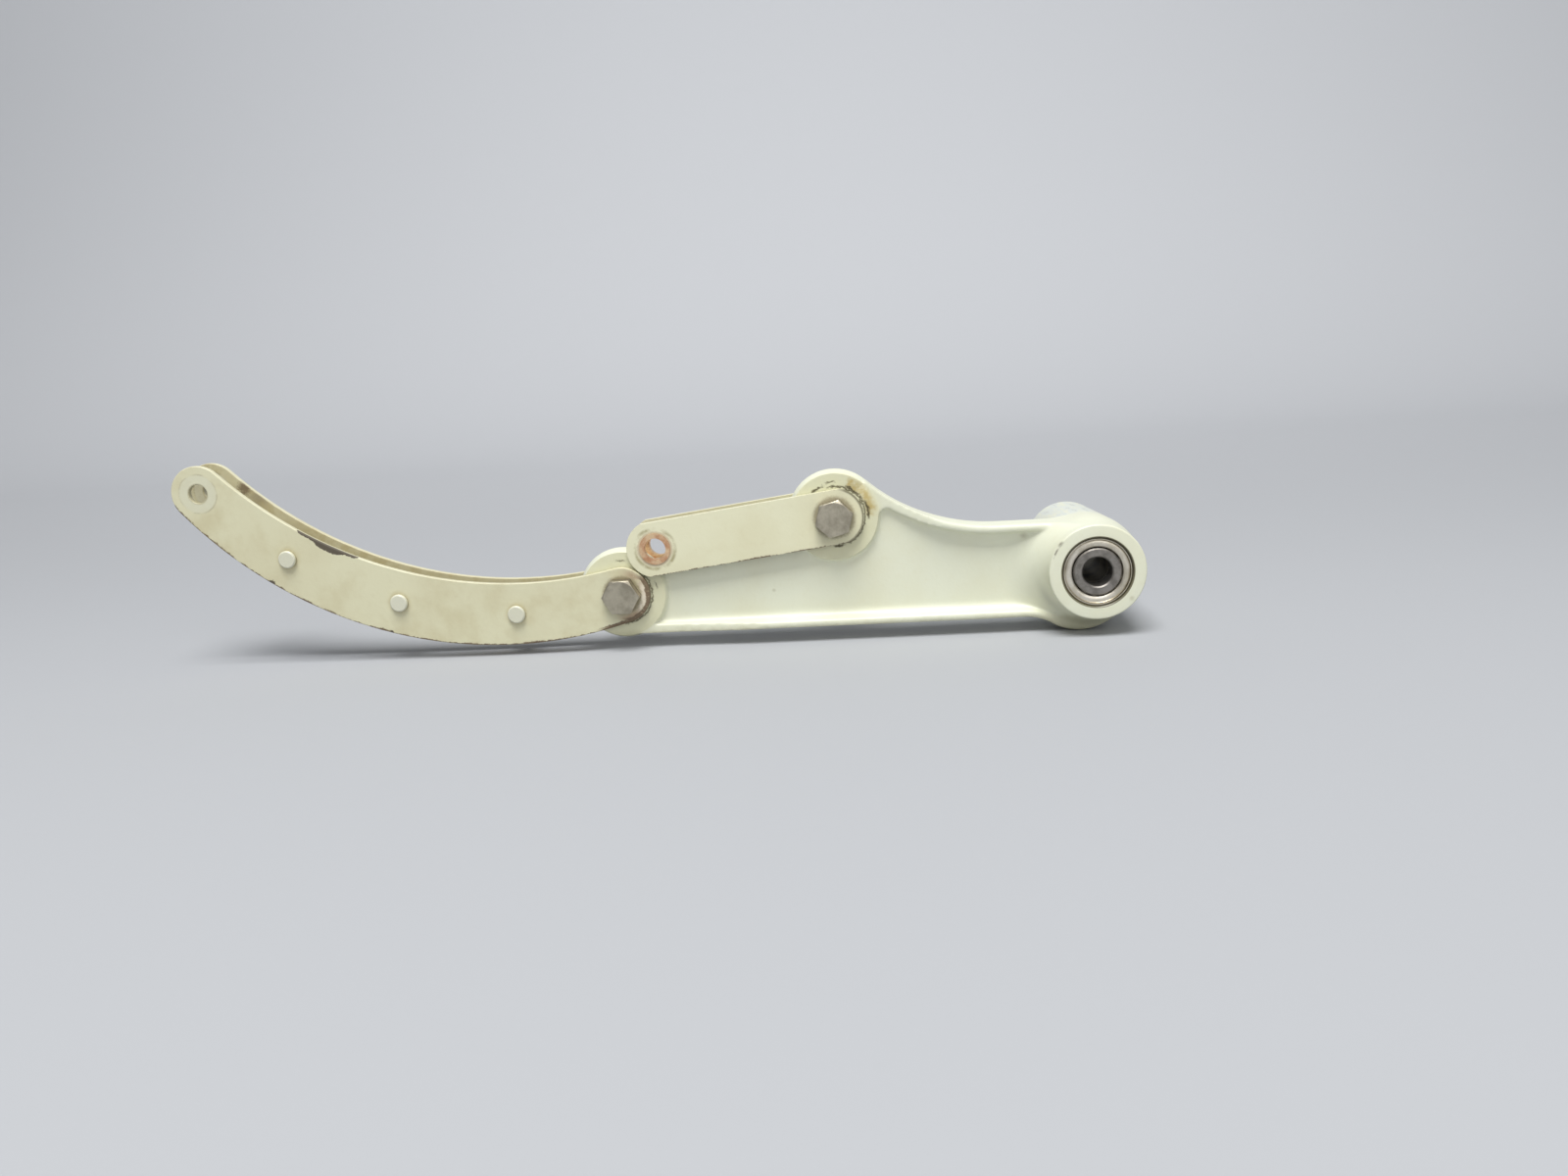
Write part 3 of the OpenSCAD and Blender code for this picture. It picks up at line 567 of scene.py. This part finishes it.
def arm_wear_and_shade(place, colour):
    """A pale film on the barrel that is partly painted sheen and shade, painted shade in the corners, round the
    seat and towards the bottom, grease with painted shadow on the pads and a chipped hub rim.
    """
    y = place.axis("Y")
    ragged = noise(place, 3.2, detail=5, roughness=0.65, drift=13)
    fine = noise(place, 0.9, detail=4, roughness=0.6, drift=21)
    streaks = noise(place, 2.2, detail=4, roughness=0.6, drift=63, stretch=(1, 0.15, 1))
    # A streaky pale film on the barrel, whose cool grey-white is partly painted sheen and shade.
    on_barrel = ease(y, *BARREL_FILM_AND_SHEEN)
    colour = blend(on_barrel * ease(streaks, 0.3, 0.6) * 0.65, colour, FILM_AND_SHEEN_WHITE)
    colour = blend(on_barrel * ease(streaks, 0.58, 0.68) * 0.5, colour, FILM_AND_SHADE_GREY)

    near_pivots = (ease(from_axis(place, UPPER), *UPPER_PAD_RIM)
                   | ease(from_axis(place, LOWER), *LOWER_PAD_RIM))
    on_pads = ease(abs(y), *PAD_FACE) * near_pivots
    broken = ease(ragged * 0.5 + fine * 0.5, 0.38, 0.48)
    hairy = shaken(place, 1.3, 0.9)
    # Beside the links' ends a thin dark stroke is painted shadow with grease; blots, dashes and smear are grease.
    shadow_lines = arc_marks(hairy, UPPER, UPPER_SHADOW_LINES) | arc_marks(hairy, LOWER, LOWER_SHADOW_LINES)
    blots = arc_marks(hairy, UPPER, UPPER_BLOTS) | arc_marks(hairy, LOWER, LOWER_BLOTS)
    dashes = arc_marks(hairy, UPPER, UPPER_DASHES) | arc_marks(hairy, LOWER, LOWER_DASHES)
    marks = (blots * broken | (dashes | shadow_lines) * ease(fine, 0.2, 0.42)) * on_pads
    colour = blend(on_pads * (0.35 + 0.35 * ragged), colour, PAD_YELLOW)
    smear = arc_mark(hairy, UPPER, *UPPER_SMEAR, soft=1.2) * ease(ragged, 0.22, 0.55) * on_pads
    colour = blend(smear * 0.85, colour, OCHRE)
    # Grease on the pads, with painted shadow along the links' ends.
    colour = blend(marks * 0.95, colour, GREASE_AND_SHADE)

    on_face = ease(y, *HUB_FACE)
    hub = from_axis(place, HUB)
    chips = arc_marks(place, HUB, HUB_CHIPS) * on_face * ease(fine, 0.3, 0.5)
    colour = blend(chips, colour, PRIMER)
    # Painted shade: a dark ring round the bearing seat's mouth, for the gap between ring and hub.
    colour = blend(ease(hub, *SEAT_GAP_SHADE) * 0.9, colour, GREASE_AND_SHADE)
    colour = blend(spot(place, HUB_SPOT, 1.3, ragged, soft=1.2) * on_face * 0.3, colour, OLIVE)
    # Painted shade: dark grey in the hollow beside the hub, low on its front left.
    shade_in_hollow = window(hub, *HOLLOW_RING, soft=1.6) * window(angle_round(place, HUB), *HOLLOW_ARC, soft=16)
    colour = blend(shade_in_hollow * ease(y, *HOLLOW_FRONT) * 0.42, colour, HOLLOW_SHADE)
    # Painted shade in the corner under the upper flange, beside the hub.
    colour = blend(spot(place, FLANGE_CORNER_SHADE, 1.8, ragged, soft=1.8) * 0.35, colour, GRIME_AND_SHADE)
    colour = blend(spot(place, WEB_SPOT, 0.9, ragged, soft=0.9) * 0.3, colour, OLIVE)
    # Painted shade: olive darkening towards the bottom of the arm.
    underside_shade = ease(place.axis("Z") + ragged * 3, *UNDERSIDE_SHADE)
    colour = blend(underside_shade * 0.35, colour, OLIVE)
    return colour, marks * 0.5 | chips


def link_centre(offset):
    """The centre of a curved edge whose circle, made larger by offset, runs through both ends' centres."""
    half = (TIP - LOWER).length / 2
    along = (TIP - LOWER).normalized()
    upward = Vector((along.z, 0, -along.x))
    return (TIP + LOWER) / 2 + upward * math.sqrt((LINK_EDGE_R + offset) ** 2 - half ** 2)


def link_edges(place):
    """Distances in millimetres from the curved link's lower and upper edges."""
    below = LINK_EDGE_R / MM - from_axis(place, link_centre(-LINK_END_R))
    above = from_axis(place, link_centre(LINK_END_R)) - LINK_EDGE_R / MM
    return below, above


def rivet_place(step):
    """The centre of a rivet, counted from the middle one along the link's sweep."""
    sweep = (link_centre(-LINK_END_R) + link_centre(LINK_END_R)) / 2
    middle = (TIP + LOWER) / 2 - sweep
    spoke = middle.normalized() * (TIP - sweep).length
    return sweep + Matrix.Rotation(-step * RIVET_PITCH, 3, "Y") @ spoke


def short_link_edges(place):
    """Distances in millimetres from the short link's lower and upper edges."""
    along = (UPPER - FREE).normalized()
    across = (place.axis("Z") - UPPER.z / MM) * along.x - (place.axis("X") - UPPER.x / MM) * along.z
    return across + SHORT_HALF_W / MM, SHORT_HALF_W / MM - across


def corner(place, from_edge):
    """Distance in millimetres from a plate's outer corner, along its face or over its edge."""
    return from_edge | (PLATE_OUT_Y / MM - abs(place.axis("Y")))


def plate_wear(place, colour, below, above, drift, rusty, soiled):
    """What both links share: rusty lower edges, a fine dark upper corner and soil on the inner faces."""
    ragged = noise(place, 4.5, detail=5, roughness=0.65, drift=drift)
    fine = noise(place, 0.8, detail=4, roughness=0.65, drift=drift + 20)
    inside = ease(abs(place.axis("Y")), PLATE_IN_Y / MM + 0.5, PLATE_IN_Y / MM + 0.1)
    colour = blend(inside * soiled * (0.5 + 0.5 * ease(ragged, 0.4, 0.7)), colour, SOIL)
    dull = ease(below + ragged * 4, 5.5, 1.5)
    colour = blend(dull * 0.3, colour, LINK_CREAM_DEEP)
    rust = ease(below + fine * 1.2 - ragged * rusty, 0.15, -0.25)
    line = ease(corner(place, above) + fine * 0.8 - ragged * 0.5, 0.25, 0.05)
    colour = blend(line * 0.55, colour, GRIME_AND_SHADE)
    colour = blend(rust * 0.92, colour, RUST)
    return colour, rust | line * 0.5, ragged, fine


def curved_link_wear(place, colour):
    """Edge wear, a long chip, nicks, soil round rivets and pivot, a washer's mark and stains at the tip."""
    below, above = link_edges(place)
    y = place.axis("Y")
    colour, bare, ragged, fine = plate_wear(place, colour, below, above, drift=17, rusty=2.2, soiled=0.7)
    on_front = ease(y, *FRONT_PLATE)
    middle, tails = from_place(place, CHIP_MIDDLE), from_place(place, CHIP_TAILS)
    depth = 1.3 * ease(middle, 7, 2) + 1.4 * ease(tails, 13, 10)
    chip = ease(above + fine * 1.2 + ragged * 0.8 - depth, 0.35, 0.2) * on_front
    nicks = spot(place, UPPER_NICK, 1.2, fine, soft=0.4) | spot(place, LOWER_NICK, 1.0, fine, soft=0.4)
    nicks = nicks * on_front

    round_rivets = ease(from_axis(place, rivet_place(-1)) + ragged * 3, *RIVET_SOIL)
    for step in (0, 1):
        round_rivets = round_rivets | ease(from_axis(place, rivet_place(step)) + ragged * 3, *RIVET_SOIL)
    clouds = ease(noise(place, 14, detail=4, roughness=0.6, drift=83), 0.45, 0.75)
    colour = blend(round_rivets * 0.5 | clouds * 0.3, colour, SOIL)
    pivot = from_axis(place, LOWER)
    angle = angle_round(place, LOWER)
    stain = window(pivot + fine * 1.5, 7.4, 9.4, 0.9) * window(angle, -100, 75, 25) * ease(ragged, 0.3, 0.55)
    colour = blend(stain * 0.65, colour, RED_BROWN)
    rubbed = window(pivot + fine * 1.4, 7.0, 8.9, 0.5) * window(angle, -45, 30, 14) * ease(fine, 0.32, 0.48)
    colour = blend(rubbed * 0.75, colour, RUBBED)
    colour = blend(ease(pivot + fine * 1.2, 7.9, 6.6) * 0.7, colour, GRIME_AND_SHADE)
    round_end = ease(pivot + ragged * 1.8 - fine * 1.2, 8.2, 8.4) * window(angle, -88, 44, 10)
    near_edge = ease(below + fine * 1.2 - ragged * 1.4, 1.1, 0.9)
    worn = round_end | near_edge * ease(pivot, 16, 11) * ease(angle, -70, -90)
    colour = blend(worn * ease(fine, 0.1, 0.5), colour, WORN_BROWN)

    tip = from_axis(place, TIP)
    colour = blend(ease(tip + fine * 0.8, 7.2, 6.4) * (0.15 + 0.3 * ragged), colour, TIP_PALE)
    colour = blend(window(tip + fine * 0.4, 6.6, 7.0, 0.3) * ease(ragged, 0.42, 0.6) * 0.4, colour, GRIME_AND_SHADE)
    colour = blend(ease(tip, 3.9, 3.2) * 0.5, colour, OLIVE)
    colour = blend(chip | nicks, colour, PRIMER)
    cloud = spot(place, INNER_CLOUD, 6, ragged, soft=5) * 0.55
    stains = spot(place, INNER_STAIN, 3.2, fine, soft=2.2) | cloud
    inner_face = window(y, REAR_PLATE_START, PLATE_IN_Y / MM + 0.3, soft=0.2)
    colour = blend(stains * inner_face * 0.85, colour, WORN_BROWN)
    return colour, bare | chip | nicks | worn * 0.6


def short_link_wear_and_shade(place, colour):
    """Edge wear, a washer's mark round the bushing, dirt round the pivot and painted shadow with grease along the
    rounded end.
    """
    below, above = short_link_edges(place)
    colour, bare, ragged, fine = plate_wear(place, colour, below, above, drift=57, rusty=1.7, soiled=0.35)
    bush = from_axis(place, FREE)
    imprint = window(bush, 6.2, 7.2, 0.5) * ease(ragged, 0.35, 0.6)
    colour = blend(imprint * 0.75, colour, OLIVE)
    colour = blend(ease(bush + fine * 0.8, 6.6, 6.0) * 0.6, colour, BUSH_BROWN)
    pivot = from_axis(place, UPPER)
    angle = angle_round(place, UPPER)
    colour = blend(ease(pivot + fine * 1.4, 8.4, 6.8) * 0.65, colour, GRIME_AND_SHADE)
    # Painted shadow with grease along the link's rounded end, on its right side.
    colour = blend(ease(pivot + fine * 0.3, 8.9, 9.6) * window(angle, -85, 75, 12) * 0.75, colour, GREASE_AND_SHADE)
    return colour, bare


def rivet_wear_and_shade(place, colour):
    """Rubbed tops, and dirt with painted shade on the sides of the heads down to their foot."""
    proud = abs(place.axis("Y")) - PLATE_OUT_Y / MM
    fine = noise(place, 0.7, detail=4, roughness=0.6, drift=11)
    colour = blend(ease(proud, 0.6, 1.2) * (0.5 + 0.4 * fine), colour, RIVET_GREY)
    # Painted shade with dirt on the sides of the heads.
    colour = blend(ease(proud + fine * 0.5, 1.2, 0.4) * 0.75, colour, GRIME_AND_SHADE)
    return colour, fine * 0.1


def metal(name, light, dull, rough, patch=5.0, foot=None):
    """Bare metal in two tones with fine grain and, where a foot's height is given, dirt down at the plate."""
    finish, start = new_finish(name, {"Metallic": 1.0})
    place = place_mm(start)
    patches = noise(place, patch, detail=4, roughness=0.6, drift=5)
    grains = noise(place, 0.6, detail=3, roughness=0.6, drift=31)
    colour = blend(ease(patches, 0.35, 0.68), light, dull)
    gloss = rough + 0.14 * patches + 0.1 * grains
    if foot:
        proud = abs(place.axis("Y")) - PLATE_OUT_Y / MM
        dirt = ease(proud + noise(place, 1.6, detail=4, roughness=0.6, drift=77), foot + 0.6, 0.4) * 0.8
        colour = blend(dirt, colour, RUST)
        gloss = gloss + dirt * 0.25
    join_up(finish, Base_Color=colour, Roughness=gloss, Normal=bump(grains * 0.6 + patches * 0.4, 0.03))
    return finish


def paint_nodes(finish, *nodes):
    """Gives solids that are shown as they are their finish."""
    for node in nodes:
        frame["nodes"][node].material_slots[0].material = finish


# The camera, the light and the floor

CARD_SIZE = 7
CARD_MIDDLE_X = -0.15
CARD_BACK_Y = 1.3
CARD_HEIGHT = 1.6
CARD_BEND = 0.6
CARD_BEND_STEPS = 16
CARD_FADE = (100, 1200)
CLIP_START = 10 * MM
ROOM_TINT = (0.93, 0.95, 1.0, 1)
ROOM_STRENGTH = 0.25
PART_MIDDLE = (-0.14, 0, 0)
CEILING_LAMP = {"place": (-0.16, -0.62, 1.65), "size": 0.95, "watts": 39}
FRONT_LAMP = {"place": (0.55, -1.65, 0.85), "size": 1.4, "watts": 9}


def sight(pixel):
    """Direction of a pixel of the photograph from the camera: right, down and ahead."""
    return Vector(((pixel[0] - PHOTO_W / 2) / FOCAL_PX, (pixel[1] - PHOTO_H / 2) / FOCAL_PX, 1))


def photo_camera():
    """The camera, from where the hub's axis vanishes and how large its front face is."""
    along = sight(HUB_AXIS_VANISHES).normalized()
    right = (Vector((1, 0, 0)) - along.x * along).normalized()
    up = right.cross(along)
    cos, sin = math.cos(PART_ROLL), math.sin(PART_ROLL)
    axes = Matrix((cos * right + sin * up, along, cos * up - sin * right))
    face = sight(HUB_FACE_CENTRE) * (FOCAL_PX * HUB_FACE_R / HUB_FACE_R_PX)
    bpy.ops.object.camera_add(location=Vector((HUB.x, HUB_FRONT_Y, HUB.z)) - axes @ face)
    camera = bpy.context.object
    turn = Matrix([axes @ Vector(way) for way in ((1, 0, 0), (0, -1, 0), (0, 0, -1))]).transposed()
    camera.rotation_euler = turn.to_euler()
    camera.data.lens = camera.data.sensor_width * FOCAL_PX / PHOTO_W
    camera.data.clip_start = CLIP_START
    bpy.context.scene.camera = camera


def soft_light(name, place, size, watts):
    """A large square lamp that looks at the part."""
    bpy.ops.object.light_add(type="AREA", location=place)
    lamp = bpy.context.object
    lamp.name = name
    lamp.data.size = size
    lamp.data.energy = watts
    lamp.rotation_euler = (Vector(PART_MIDDLE) - Vector(place)).to_track_quat("-Z", "Y").to_euler()


def backdrop():
    """A card that lies under the part and curves up behind it, paler towards the back."""
    bpy.ops.object.select_all(action="DESELECT")
    bpy.ops.mesh.primitive_plane_add(size=CARD_SIZE,
                                     location=(CARD_MIDDLE_X, CARD_BACK_Y - CARD_SIZE / 2, FLOOR_Z))
    card = bpy.context.object
    card.name = "floor"
    bpy.ops.object.transform_apply(location=True, rotation=True, scale=True)
    pick(card, lambda place: place.y > 0)
    bpy.ops.mesh.extrude_region_move(TRANSFORM_OT_translate={"value": (0, 0, CARD_HEIGHT)})
    done_editing()
    pick(card, lambda place: place.y > 0 and place.z < 0)
    bpy.ops.mesh.bevel(offset=CARD_BEND, segments=CARD_BEND_STEPS, affect="EDGES")
    done_editing()
    smooth(card)
    finish, start = new_finish("card", {"Roughness": 0.75})
    backwards = ease(place_mm(start).axis("Y"), *CARD_FADE)
    join_up(finish, Base_Color=blend(backwards, CARD_GREY, CARD_PALE))
    card.data.materials.append(finish)


def room_light():
    """A soft room and two lamps."""
    world = bpy.data.worlds.new("room")
    world.use_nodes = True
    room = world.node_tree.nodes["Background"]
    room.inputs["Color"].default_value = ROOM_TINT
    room.inputs["Strength"].default_value = ROOM_STRENGTH
    bpy.context.scene.world = world
    soft_light("ceiling_lamp", **CEILING_LAMP)
    soft_light("front_lamp", **FRONT_LAMP)
    bpy.context.scene.view_settings.view_transform = "Standard"


# The part

EDGE_BREAK = 0.3 * MM
HARDWARE_BREAK = 0.12 * MM
CHAMFER_ANGLE = 18
arm_paint = paint("arm_paint", CREAM, CREAM_DEEP, arm_wear_and_shade)
curved_paint = paint("curved_link_paint", LINK_TAN, LINK_TAN_DEEP, curved_link_wear)
short_paint = paint("short_link_paint", LINK_CREAM, LINK_CREAM_DEEP, short_link_wear_and_shade)
rivet_paint = paint("rivet_paint", LINK_CREAM, LINK_CREAM_DEEP, rivet_wear_and_shade)
bolt_steel = metal("bolt_steel", STEEL, STEEL_DULL, 0.34, foot=0.9)
polished = metal("polished_steel", POLISHED, STEEL, 0.27, patch=7)
ring_steel = metal("ring_steel", RING_STEEL, RING_STEEL_DARK, 0.4, patch=3)
tube_steel = metal("tube_steel", STEEL_DULL, RING_STEEL_DARK, 0.45, patch=6)
plating = metal("plating", PLATING, PLATING_DULL, 0.38, foot=0.6)
bronze = metal("bronze", BRONZE, BRONZE_DULL, 0.4, patch=3)

forged_arm(arm_paint)
for side in ("front", "rear"):
    for link, link_finish in (("curved_link", curved_paint), ("short_link", short_paint)):
        plate = f"{link}_{side}_plate"
        stands_for(softened(plate, EDGE_BREAK), plate, link, link_finish)
    paint_nodes(polished, f"{side}_bearing_outer_ring", f"{side}_bearing_shields", f"{side}_bearing_balls")
    paint_nodes(ring_steel, f"{side}_bearing_inner_ring")
    paint_nodes(bronze, f"short_link_{side}_bushing")
stands_for(softened("curved_link_rivets", HARDWARE_BREAK), "curved_link_rivets", "curved_link",
           rivet_paint)
for pivot, body in (("lower", "curved_link"), ("upper", "short_link")):
    bolt, nut, washer = (f"{pivot}_pivot_{kind}" for kind in ("bolt", "nut", "washer"))
    stands_for(softened(bolt, HARDWARE_BREAK, CHAMFER_ANGLE), bolt, body, bolt_steel)
    stands_for(softened(nut, HARDWARE_BREAK, CHAMFER_ANGLE), nut, body, plating)
    stands_for(softened(washer, HARDWARE_BREAK), washer, body, plating)
    paint_nodes(polished, f"{pivot}_pivot_cotter_pin")
    paint_nodes(tube_steel, f"{pivot}_boss_bushing")
paint_nodes(tube_steel, "bearing_spacer", "curved_link_spacers")

photo_camera()
backdrop()
room_light()
